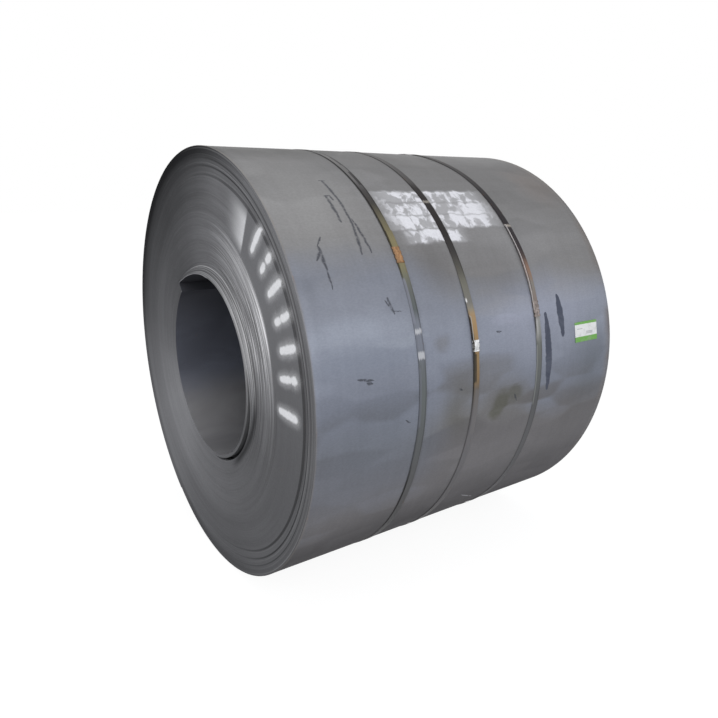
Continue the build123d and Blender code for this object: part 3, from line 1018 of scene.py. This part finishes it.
def buildBoreWall(finish):
    # inner turn: painted shade over the top, slate on the side, painted light making it paler below, smooth with soft
    # streaks
    material, _, shader, point = startMaterial("boreWall", Metallic=0.25, Specular_IOR_Level=0.3)
    grain = grainAt(point, 200.0, 5.0, (1, 0.5, 1))
    height = axes(point)["Z"]
    level = timesPlus(grain["Clouds"], 0.10, height)
    # painted shade and light by height in the bore
    colour = mixColour(spread(level, 1.32, 0.90), finish["dark"], finish["slate"])
    colour = mixColour(spread(level, 0.84, 0.66), colour, finish["pale"])
    colour = mottled(colour, grain["Clouds"], 0.85, 1.15)
    rust = rustAt(point, 14.0, 0.38)
    colour = mixColour(times(rust["Mask"], 0.15), colour, rust["Colour"])
    roughness = timesPlus(grain["Clouds"], 0.25, 0.36)
    endMaterial(shader, colour, roughness, plus(grain["Grain"], grain["Clouds"]), finish["bump"])
    return material


strapShape = {
    "width": 0.032,
    "thick": 0.001,
    "rest": 0.8852,
    "steps": 420,
    # gap under the lap as a share of the thickness, and where the lap stops, in degrees past the free end
    "lapGap": 1.06,
    "lapFade": (0.3, 2.0),
    # degrees before the full turn between which the band goes under itself, and the lift of its free tip
    "under": (14, 6),
    "tipSpan": 5,
    "tipLift": 0.0012,
    # colour of the painted shadow along the edges and tint of the scuffs
    "edgeShadow": (0.016, 0.015, 0.014),
    "scuffed": (1.6, 1.55, 1.5),
    "bump": (0.4, 0.0012),
}

# middle: metres along the axis; sealAt and sealLength: the seal's angle and length; lapOver: degrees of free end;
# drift, lift and lean: angles and millimetres; tints: angle and colour, bottom to top;
# then for the left and the right edge: angle and how dark the painted shadow on that edge is; patches: across from
# and to, angle from and to, strength and colour, where the near-black ones by the lifted parts are painted shadow
# and the pale one along the third strap's raised edge is a painted highlight
straps = [
    {
        "number": 1, "middle": -0.3185, "sealAt": 34.2, "sealLength": 0.063, "lapOver": 8.4,
        "drift": (
            [-180, -60, -44, -27, -15, -6, 9, 34, 45, 60, 72, 180],
            [0, 0, 0, -6, -8, -5, -4, -6, -8, -5, 0, 0],
        ),
        "lift": ([-180, -20, 0, 15, 30, 36, 44, 60, 75, 180], [0, 0, 0, 0, 0, 0.6, 1.8, 1.0, 0, 0]),
        "lean": ([-180, -62, -50, -32, -14, 6, 25, 40, 60, 80, 180], [0, 0, 0.4, 0.6, 0.2, 0, 0, 0.8, 0.6, 0, 0]),
        "tints": [
            (-180, (0.09, 0.086, 0.080)), (-60, (0.065, 0.065, 0.066)), (-35, (0.080, 0.080, 0.082)),
            (-24, (0.115, 0.115, 0.118)), (-12, (0.130, 0.136, 0.140)), (2, (0.150, 0.165, 0.165)),
            (8.8, (0.160, 0.172, 0.185)), (12.5, (0.22, 0.235, 0.28)), (19, (0.21, 0.225, 0.26)),
            (20.5, (0.120, 0.135, 0.138)), (26, (0.150, 0.158, 0.150)), (29, (0.185, 0.185, 0.140)),
            (32, (0.24, 0.215, 0.120)), (38, (0.235, 0.205, 0.115)), (44, (0.150, 0.135, 0.090)),
            (49, (0.052, 0.048, 0.044)), (54, (0.060, 0.057, 0.057)), (58, (0.150, 0.147, 0.147)),
            (70, (0.175, 0.172, 0.170)), (84, (0.110, 0.107, 0.106)), (110, (0.075, 0.071, 0.066)),
            (180, (0.09, 0.086, 0.080)),
        ],
        "rust": 0.40,
        "leftShadow": [
            (-42, 0.0), (-38, 1.0), (-22, 1.0), (-16, 0.2), (0, 0.2), (24, 0.15), (31, 0.9), (44, 1.0), (75, 1.0),
            (84, 0.0),
        ],
        "rightShadow": [
            (-30, 0.0), (-10, 0.4), (16, 0.3), (20, 0.5), (26, 0.2), (40, 0.0), (50, 0.6), (56, 1.0), (74, 1.0),
            (84, 0.0),
        ],
        "patches": [
            (0.0, 0.36, 18.0, 28.5, 0.75, (0.25, 0.26, 0.31)), (0.05, 0.95, 15.6, 16.7, 0.85, (0.60, 0.61, 0.64)),
            (0.05, 0.95, 10.0, 11.6, 0.85, (0.60, 0.61, 0.64)), (0.56, 1.0, 56.0, 62.0, 0.85, (0.03, 0.028, 0.028)),
            (0.66, 1.0, 66.0, 72.0, 0.70, (0.04, 0.038, 0.038)), (0.0, 0.30, -6.0, 8.0, 0.5, (0.19, 0.20, 0.24)),
        ],
        "sealTint": (0.38, 0.215, 0.105), "sealRust": 0.48, "sealRough": 0.6,
    },
    {
        "number": 2, "middle": -0.0655, "sealAt": 10.7, "sealLength": 0.042, "lapOver": 8.4,
        "drift": ([-180, -50, -20, 20, 60, 180], [0, -2, 0, 0, 0, 0]),
        "lift": ([-180, 3, 7, 9, 12, 18, 24, 32, 180], [0, 0, 1.0, 2.8, 4.4, 5.0, 1.6, 0, 0]),
        "lean": ([-180, 3, 7, 11, 16, 22, 60, 180], [0, 0, -1.0, -3.0, -2.6, 0, 0, 0]),
        "tints": [
            (-180, (0.09, 0.086, 0.080)), (-60, (0.085, 0.083, 0.084)), (-40, (0.120, 0.117, 0.120)),
            (-18, (0.175, 0.172, 0.180)), (-6, (0.175, 0.170, 0.175)), (0, (0.165, 0.145, 0.125)),
            (2, (0.26, 0.180, 0.100)), (8, (0.33, 0.225, 0.115)), (14, (0.40, 0.265, 0.135)),
            (18.0, (0.44, 0.300, 0.165)), (19.2, (0.30, 0.27, 0.21)), (21, (0.210, 0.205, 0.190)),
            (26, (0.185, 0.180, 0.150)), (29, (0.110, 0.106, 0.092)), (34, (0.050, 0.047, 0.046)),
            (40, (0.028, 0.025, 0.025)), (55, (0.026, 0.023, 0.023)), (58, (0.075, 0.071, 0.070)),
            (70, (0.115, 0.111, 0.110)), (110, (0.090, 0.087, 0.084)), (180, (0.09, 0.086, 0.080)),
        ],
        "rust": 0.42,
        "leftShadow": [
            (-14, 0.0), (-8, 0.45), (-2, 0.7), (0, 1.0), (17, 1.0), (19, 0.0), (54, 0.0), (62, 0.6), (80, 0.3),
            (84, 0.0),
        ],
        "rightShadow": [(24, 0.0), (30, 0.5), (54, 0.0), (62, 0.5), (80, 0.3), (84, 0.0)],
        "patches": [
            (0.0, 1.0, 49.2, 50.0, 0.60, (0.46, 0.42, 0.37)), (0.0, 0.24, 21.3, 22.1, 0.95, (0.85, 0.85, 0.84)),
            (0.0, 0.55, 1.8, 9.0, 0.88, (0.040, 0.040, 0.036)), (0.0, 0.30, 9.0, 13.5, 0.85, (0.030, 0.030, 0.028)),
            (0.08, 0.20, 12.0, 18.0, 0.70, (0.70, 0.68, 0.64)), (0.40, 1.0, -12.0, 0.0, 0.5, (0.21, 0.20, 0.20)),
        ],
        "sealTint": (0.88, 0.89, 0.90), "sealRust": 0.30, "sealRough": 0.32,
    },
    {
        "number": 3, "middle": 0.2835, "sealAt": 17.3, "sealLength": 0.063, "lapOver": 25.8,
        "drift": (
            [-180, -60, -45, -20, 0, 15, 24, 32, 45, 55, 62, 72, 80, 180],
            [0, 8, 10, 0, 0, 2, 6, 6, 2, 0, -5, -22, -26, 0],
        ),
        "lift": ([-180, -20, 3, 9, 18, 24, 32, 40, 50, 180], [0, 0, 0, 0.4, 0.6, 2.4, 3.0, 1.6, 0, 0]),
        "lean": ([-180, -55, -32, -14, 10, 22, 34, 46, 180], [0, 0, 0.4, 0, 0, -2.8, -2.4, 0, 0]),
        "tints": [
            (-180, (0.09, 0.086, 0.080)), (-50, (0.085, 0.085, 0.089)), (-30, (0.120, 0.120, 0.126)),
            (-18, (0.135, 0.136, 0.142)), (-6, (0.125, 0.128, 0.132)), (0, (0.150, 0.160, 0.158)),
            (9.3, (0.180, 0.188, 0.175)), (10.5, (0.36, 0.36, 0.35)), (14.0, (0.50, 0.50, 0.49)),
            (15.2, (0.24, 0.215, 0.20)), (20, (0.26, 0.215, 0.19)), (24, (0.25, 0.235, 0.215)),
            (26, (0.28, 0.190, 0.140)), (29, (0.27, 0.165, 0.120)), (30.5, (0.110, 0.080, 0.070)),
            (33, (0.040, 0.033, 0.035)), (40, (0.028, 0.025, 0.028)), (50, (0.028, 0.025, 0.027)),
            (60, (0.042, 0.039, 0.040)), (74, (0.060, 0.056, 0.056)), (110, (0.075, 0.071, 0.066)),
            (180, (0.09, 0.086, 0.080)),
        ],
        "rust": 0.40,
        "leftShadow": [(10, 0.0), (12, 1.0), (20, 1.0), (23, 0.0)],
        "rightShadow": [(-40, 0.0), (-30, 0.4), (-10, 0.45), (10, 0.3), (14, 0.0)],
        "patches": [
            (0.0, 1.0, 40.4, 41.1, 0.80, (0.46, 0.42, 0.37)), (0.03, 0.15, 17.0, 41.0, 0.90, (0.78, 0.74, 0.73)),
            (0.15, 0.40, 22.0, 30.0, 0.6, (0.10, 0.075, 0.07)), (0.55, 1.0, 9.0, 14.6, 0.55, (0.20, 0.21, 0.20)),
            (0.0, 0.22, -8.0, 8.0, 0.6, (0.30, 0.31, 0.30)),
        ],
        "sealTint": (0.34, 0.29, 0.27), "sealRust": 0.46, "sealRough": 0.5,
    },
]


def atAngle(curve, angles):
    # value at each angle, straight between the given ones and the same every full turn
    wrapped = np.mod(angles + 180, 360) - 180
    return np.interp(wrapped, *curve)


def buildStrap(shape, strap):
    # thin band carried round the axis from its free end, over the seal, once round and back under itself;
    # radius = rest + lap + lift + across x lean, along = middle + drift + across x half width
    half = shape["width"] / 2
    sealHalf = np.degrees(strap["sealLength"] / 2 / shape["rest"])
    free = strap["sealAt"] - sealHalf + strap["lapOver"]
    last = strap["sealAt"] - sealHalf - 360 + 0.5
    angles = np.linspace(free, last, shape["steps"])
    lapEnds = [strap["lapOver"] + more for more in shape["lapFade"]]
    lap = shape["thick"] * shape["lapGap"] * (1 - easeStep(free - angles, *lapEnds))
    lift = atAngle(strap["lift"], angles) / 1000
    under = easeStep(free - angles, *(360 - before for before in shape["under"]))
    tip = easeStep(angles, free - shape["tipSpan"], free) * shape["tipLift"]
    lean = atAngle(strap["lean"], angles) / 1000 * (1 - under)
    base = shape["rest"] + lap + lift + tip
    base = np.where(under > 0, shape["rest"] + lift + (base - shape["rest"] - lift) * (1 - under), base)
    middle = strap["middle"] + atAngle(strap["drift"], angles) / 1000
    across = np.array([-1, -1, -0.97, -0.5, 0, 0.5, 0.97, 1, 1, 0.97, 0.5, 0, -0.5, -0.97])
    up = np.array([0.25, 0.75, 1, 1, 1, 1, 1, 0.75, 0.25, 0, 0, 0, 0, 0])
    rise = np.maximum(across[None, :] * lean[:, None], -0.9 * (base[:, None] - shape["rest"]))
    radius = base[:, None] + rise + up[None, :] * shape["thick"]
    theta = np.radians(angles)[:, None]
    y = middle[:, None] + across[None, :] * half
    points = roundPoints(radius, theta, y)
    count = len(across)
    faces = gridFaces(len(angles), count, False, True)
    uv = gridUv(np.r_[across, across[0]] * 0.5 + 0.5, (angles + 180) / 360)
    caps = [list(range(count))[::-1], [(len(angles) - 1) * count + k for k in range(count)]]
    piece = makePiece(f"strap_{strap['number']}_band", points, faces, uv, caps, sharpAngle=40)
    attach(piece, "root")
    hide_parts(f"strap_{strap['number']}")
    return piece


def finishStrap(strap):
    # oiled steel strapping: tint by angle, rusty edges, painted shadow along the edges, scuffs along it, pale scraped
    # patches, and patches of painted shadow and painted highlight
    name = f"strapFinish{strap['number']}"
    material, tree, shader, point = startMaterial(name, Metallic=0.08, Specular_IOR_Level=0.08)
    where = placeGroup(coilPlace, {"Point": point})
    angle = where["Angle"]
    uv = node(tree, "ShaderNodeUVMap", uv_map="surface").outputs[0]
    across = axes(uv)["X"]
    grain = grainAt(point, 300.0, 14.0)
    scuffs = cloud(vectors("MULTIPLY", uv, (14.0, 60.0, 1.0)), 1.0, 4.0, 0.6)
    moved = plus(angle, timesPlus(scuffs, 2.4, -1.2))
    colour = roundRamp(moved, strap["tints"])
    colour = mixColour(spread(scuffs, 0.45, 0.75, 0.0, 0.35), colour, shaded(colour, strapShape["scuffed"]))
    rust = rustAt(point, 34.0, strap["rust"])
    edge = maths("ABSOLUTE", timesPlus(across, 2.0, -1.0))
    rusty = times(rust["Mask"], spread(edge, 0.1, 0.9, 0.3, 0.8))
    colour = mixColour(times(rusty, 0.55), colour, rust["Colour"])
    # painted shadow along the left and right edges, by angle
    leftShadow = times(spread(across, 0.26, 0.12), roundRamp(angle, [(-180, 0.0), *strap["leftShadow"], (180, 0.0)]))
    rightShadow = times(spread(across, 0.76, 0.90), roundRamp(angle, [(-180, 0.0), *strap["rightShadow"], (180, 0.0)]))
    colour = mixColour(times(larger(leftShadow, rightShadow), 0.85), colour, strapShape["edgeShadow"])
    # patches: pale scrapes, near-black painted shadow by the lifted parts, and a painted highlight on a raised edge
    for left, right, low, high, strength, tint in strap["patches"]:
        patch = times(windowed(moved, low, high, 0.25), windowed(across, left, right, 0.05))
        patch = times(patch, spread(scuffs, 0.25, 0.45, 0.35, 1.0))
        colour = mixColour(times(patch, strength), colour, tint)
    roughness = timesPlus(rusty, 0.35, timesPlus(scuffs, 0.2, 0.42), clamp=True)
    height = timesPlus(rust["Height"], 0.8, timesPlus(scuffs, 0.5, grain["Grain"]))
    endMaterial(shader, colour, roughness, height, strapShape["bump"])
    return material


sealShape = {
    "thick": 0.0012,
    "play": 0.0003,
    "top": 0.8876,
    "foot": 0.8856,
    "pitch": 0.020,
    "notchHalf": 0.0042,
    "notchIn": 0.0035,
    "notchDown": 0.0009,
    "rows": 64,
    "crumple": 0.00035,
    "foldDarker": (0.05, 0.045, 0.040),
    "bump": (0.45, 0.0012),
}


def buildSeal(shape, strap):
    # plate folded down both edges of the strap, carried along it; section is an outer path and an inner path,
    # and each notch pushes the sides in and down by a cosine bump, and crumples the top a little
    half = strapShape["width"] / 2 + shape["play"]
    thick = shape["thick"]
    length = strap["sealLength"]
    along = np.linspace(-0.5, 0.5, shape["rows"]) * length
    count = max(2, round(length / shape["pitch"]))
    middles = (np.arange(count) - (count - 1) / 2) * shape["pitch"]
    near = np.abs(along[:, None] - middles[None, :]).min(1)
    bump = np.where(near < shape["notchHalf"], 0.5 + 0.5 * np.cos(pi * near / shape["notchHalf"]), 0.0) ** 0.6
    outerAcross = np.array([-1, -1, -1, -0.985, -0.94, -0.7, -0.35, 0, 0.35, 0.7, 0.94, 0.985, 1, 1, 1])
    outerUp = np.array([0, 0.4, 0.75, 0.93, 1, 1, 1, 1, 1, 1, 1, 0.93, 0.75, 0.4, 0])
    innerAcross = outerAcross[::-1]
    top, foot = shape["top"], shape["foot"]
    wide = np.r_[outerAcross * (half + thick), innerAcross * half]
    high = np.r_[foot + outerUp * (top + thick - foot), foot + outerUp[::-1] * (top - foot)]
    edgeShare = easeStep(np.abs(wide), half * 0.62, half * 0.98)
    isOuter = np.r_[np.ones(15), np.zeros(15)]
    inward = -np.sign(wide) * edgeShare * shape["notchIn"]
    crumple = shape["crumple"] * np.sin(along * 900 + strap["number"])[:, None] * np.cos(wide * 260)[None, :]
    drift = atAngle(strap["drift"], np.array([strap["sealAt"]]))[0] / 1000
    y = strap["middle"] + drift + wide[None, :] + bump[:, None] * inward[None, :]
    down = bump[:, None] * (edgeShare * shape["notchDown"])[None, :] * isOuter[None, :]
    rise = atAngle(strap["lift"], strap["sealAt"] + np.degrees(along / top)) / 1000
    radius = high[None, :] - down + crumple * isOuter[None, :] + rise[:, None]
    theta = np.radians(strap["sealAt"]) + along[:, None] / (top + thick)
    points = roundPoints(radius, theta, y)
    section = len(wide)
    faces = gridFaces(len(along), section, False, True)
    uv = gridUv(np.r_[wide, wide[0]] / (half * 2) + 0.5, along / length + 0.5)
    caps = [list(range(section))[::-1], [(len(along) - 1) * section + k for k in range(section)]]
    piece = makePiece(f"strap_seal_{strap['number']}_crimp", points, faces, uv, caps, sharpAngle=50)
    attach(piece, "root")
    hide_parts(f"strap_seal_{strap['number']}")
    return piece


def finishSeal(strap):
    # sheared and crimped seal steel, mottled lighter and darker, partly as painted light and shade on its crumples,
    # rusty, and darker towards the folded sides
    name = f"sealFinish{strap['number']}"
    material, tree, shader, point = startMaterial(name, Metallic=0.4, Specular_IOR_Level=0.4)
    uv = node(tree, "ShaderNodeUVMap", uv_map="surface").outputs[0]
    parts = axes(uv)
    grain = grainAt(point, 420.0, 60.0)
    rust = rustAt(point, 75.0, strap["sealRust"])
    colour = mottled(strap["sealTint"], grain["Clouds"], 0.55, 1.3)
    side = maths("ABSOLUTE", timesPlus(parts["X"], 2.0, -1.0))
    colour = mixColour(times(rust["Mask"], 0.7), colour, rust["Colour"])
    # darker towards the folded sides
    colour = mixColour(spread(side, 0.80, 1.0, 0.0, 0.6), colour, sealShape["foldDarker"])
    roughness = timesPlus(rust["Mask"], 0.3, timesPlus(grain["Clouds"], 0.2, strap["sealRough"] - 0.1), clamp=True)
    height = timesPlus(rust["Height"], 0.8, grain["Grain"])
    endMaterial(shader, colour, roughness, height, sealShape["bump"])
    return material


for strap in straps:
    buildStrap(strapShape, strap).data.materials.append(finishStrap(strap))
    buildSeal(sealShape, strap).data.materials.append(finishSeal(strap))
print("straps and seals built")


labelShape = {
    "middle": 0.586,
    "angle": 9.2,
    "length": 0.146,
    "height": 0.084,
    "rest": 0.8853,
    "thick": 0.0004,
    # depth of the waves and lift of two corners, in metres
    "waves": 0.00018,
    "corners": (0.0011, 0.0006),
    "green": (0.180, 0.460, 0.090),
    "paper": (0.95, 0.96, 0.95),
    "ink": (0.12, 0.13, 0.14),
    "dirt": (0.45, 0.45, 0.42),
    # plain bars: from and to across the sheet, from and to up it
    "bars": [(0.50, 0.80, 0.47, 0.50), (0.50, 0.80, 0.42, 0.45), (0.50, 0.80, 0.37, 0.40), (0.10, 0.34, 0.64, 0.67)],
    "bump": (0.15, 0.0004),
}


def buildLabel(shape):
    # thin sheet wrapped on the coil: radius = rest + small waves + two lifted corners, closed by its underside
    u = np.linspace(0, 1, 45)[None, :]
    v = np.linspace(0, 1, 29)[:, None]
    theta = np.radians(shape["angle"]) + (v - 0.5) * shape["height"] / shape["rest"]
    y = shape["middle"] + (u - 0.5) * shape["length"] + 0 * v
    lift = shape["waves"] * (1 + np.sin(9 * u + 4 * v)) + shape["corners"][0] * easeStep(u + v, 1.72, 2.0)
    lift = lift + shape["corners"][1] * easeStep((1 - u) + (1 - v), 1.8, 2.0)
    sides = []
    for up in (shape["thick"], 0.0):
        radius = shape["rest"] + lift + up
        sides.append(roundPoints(radius, theta, y))
    rows, columns = v.shape[0], u.shape[1]
    top = gridFaces(rows, columns)
    under = top[:, ::-1] + rows * columns
    grid = np.arange(rows * columns).reshape(rows, columns)
    ring = np.r_[grid[0, :], grid[1:, -1], grid[-1, -2::-1], grid[-2:0:-1, 0]]
    after = np.roll(ring, -1)
    rim = np.stack([ring, ring + rows * columns, after + rows * columns, after], -1)
    faces = np.vstack([top, under, rim])
    corners = np.stack(np.broadcast_arrays(u, v), -1).reshape(-1, 2)
    corners = np.vstack([corners, corners])
    piece = makePiece("paper_label_sheet", np.vstack(sides), faces, corners[faces], sharpAngle=40)
    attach(piece, "root")
    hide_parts("paper_label")
    return piece


def finishLabel(shape):
    # printed paper: green bands at top and bottom, four plain grey bars and handling dirt
    material, tree, shader, point = startMaterial("labelPaper", Metallic=0.0, Specular_IOR_Level=0.35)
    uv = node(tree, "ShaderNodeUVMap", uv_map="surface").outputs[0]
    parts = axes(uv)
    grain = grainAt(point, 500.0, 30.0)
    edge = timesPlus(grain["Clouds"], 0.02, parts["Y"])
    green = larger(spread(edge, 0.275, 0.260), spread(edge, 0.875, 0.890))
    colour = mixColour(green, shape["paper"], shape["green"])
    for left, right, low, high in shape["bars"]:
        bar = times(windowed(parts["X"], left, right, 0.006), windowed(parts["Y"], low, high, 0.006))
        colour = mixColour(times(bar, 0.55), colour, shape["ink"])
    dirt = spread(grain["Clouds"], 0.45, 0.75, 0.0, 0.35)
    colour = mixColour(dirt, colour, shape["dirt"])
    roughness = spread(grain["Clouds"], 0.3, 0.7, 0.45, 0.6)
    endMaterial(shader, colour, roughness, grain["Grain"], shape["bump"])
    return material


buildLabel(labelShape).data.materials.append(finishLabel(labelShape))
print("label built")


coilFinishes = [
    buildSheetSide(sheetFinish), buildMarkedEnd(endFinish), buildPlainEnd(endFinish), buildBoreWall(boreFinish)]
for material in coilFinishes:
    coil.data.materials.append(material)
coil.data.polygons.foreach_set("material_index", coilFinish)
print("coil finishes ready")


studio = {
    "floorSize": 60,
    "floorWhite": 0.70,
    "floorGlow": 1.32,
    "floorGreys": ((0.57, 0.57, 0.57), (0.60, 0.60, 0.60)),
    "worldStrength": 0.52,
    "worldColour": (0.93, 0.95, 1.0),
    # place, aim, size and power of each lamp
    "lamps": {
        "sideSoft": ((4.5, -1.0, 3.0), (0, 0, 0.9), (3.0, 3.0), 64),
        "topSoft": ((0.5, 0.2, 5.0), (0, 0, 1.0), (4.0, 4.0), 24),
        "endSoft": ((0.8, -5.0, 2.4), (0, -0.76, 0.9), (3.0, 3.0), 45),
    },
}

floorPoints = np.array([[-1, -1, 0], [1, -1, 0], [1, 1, 0], [-1, 1, 0]], float) * studio["floorSize"]
floor = makePiece("floor", floorPoints, np.array([[0, 1, 2, 3]]), closed=False)
floorPaint, tree, shader, point = startMaterial("floorPaint", Roughness=0.9, Specular_IOR_Level=0.0)
tone = cloud(point, 2.0, 3.0)
tree.links.new(mixColour(tone, *studio["floorGreys"]), shader.inputs["Base Color"])
paths = node(tree, "ShaderNodeLightPath").outputs
seen = strongest([paths["Is Camera Ray"], paths["Is Glossy Ray"], paths["Is Transmission Ray"]])
glow = node(tree, "ShaderNodeEmission", {"Color": (1, 1, 1, 1), "Strength": studio["floorGlow"]}).outputs[0]
share = times(seen, studio["floorWhite"])
mixed = node(tree, "ShaderNodeMixShader", {0: share, 1: shader.outputs[0], 2: glow}).outputs[0]
tree.links.new(mixed, tree.nodes["Material Output"].inputs["Surface"])
floor.data.materials.append(floorPaint)

world = bpy.data.worlds.new("studio")
bpy.context.scene.world = world
world.use_nodes = True
tree = world.node_tree
paths = node(tree, "ShaderNodeLightPath").outputs
seen = strongest([paths["Is Camera Ray"], paths["Is Glossy Ray"], paths["Is Transmission Ray"]])
ambient = {"Color": (*studio["worldColour"], 1), "Strength": studio["worldStrength"]}
lit = node(tree, "ShaderNodeBackground", ambient).outputs[0]
white = node(tree, "ShaderNodeBackground", {"Color": (1, 1, 1, 1), "Strength": 1.0}).outputs[0]
mixed = node(tree, "ShaderNodeMixShader", {0: seen, 1: lit, 2: white}).outputs[0]
tree.links.new(mixed, tree.nodes["World Output"].inputs["Surface"])

for name, (spot, aim, size, power) in studio["lamps"].items():
    data = bpy.data.lights.new(name, "AREA")
    data.shape = "RECTANGLE"
    data.size, data.size_y = size
    data.energy = power
    lamp = bpy.data.objects.new(name, data)
    lamp.location = spot
    lamp.rotation_euler = (Vector(aim) - Vector(spot)).to_track_quat("-Z", "Y").to_euler()
    bpy.context.scene.collection.objects.link(lamp)

bpy.context.scene.view_settings.view_transform = "Standard"
print("floor and light set")
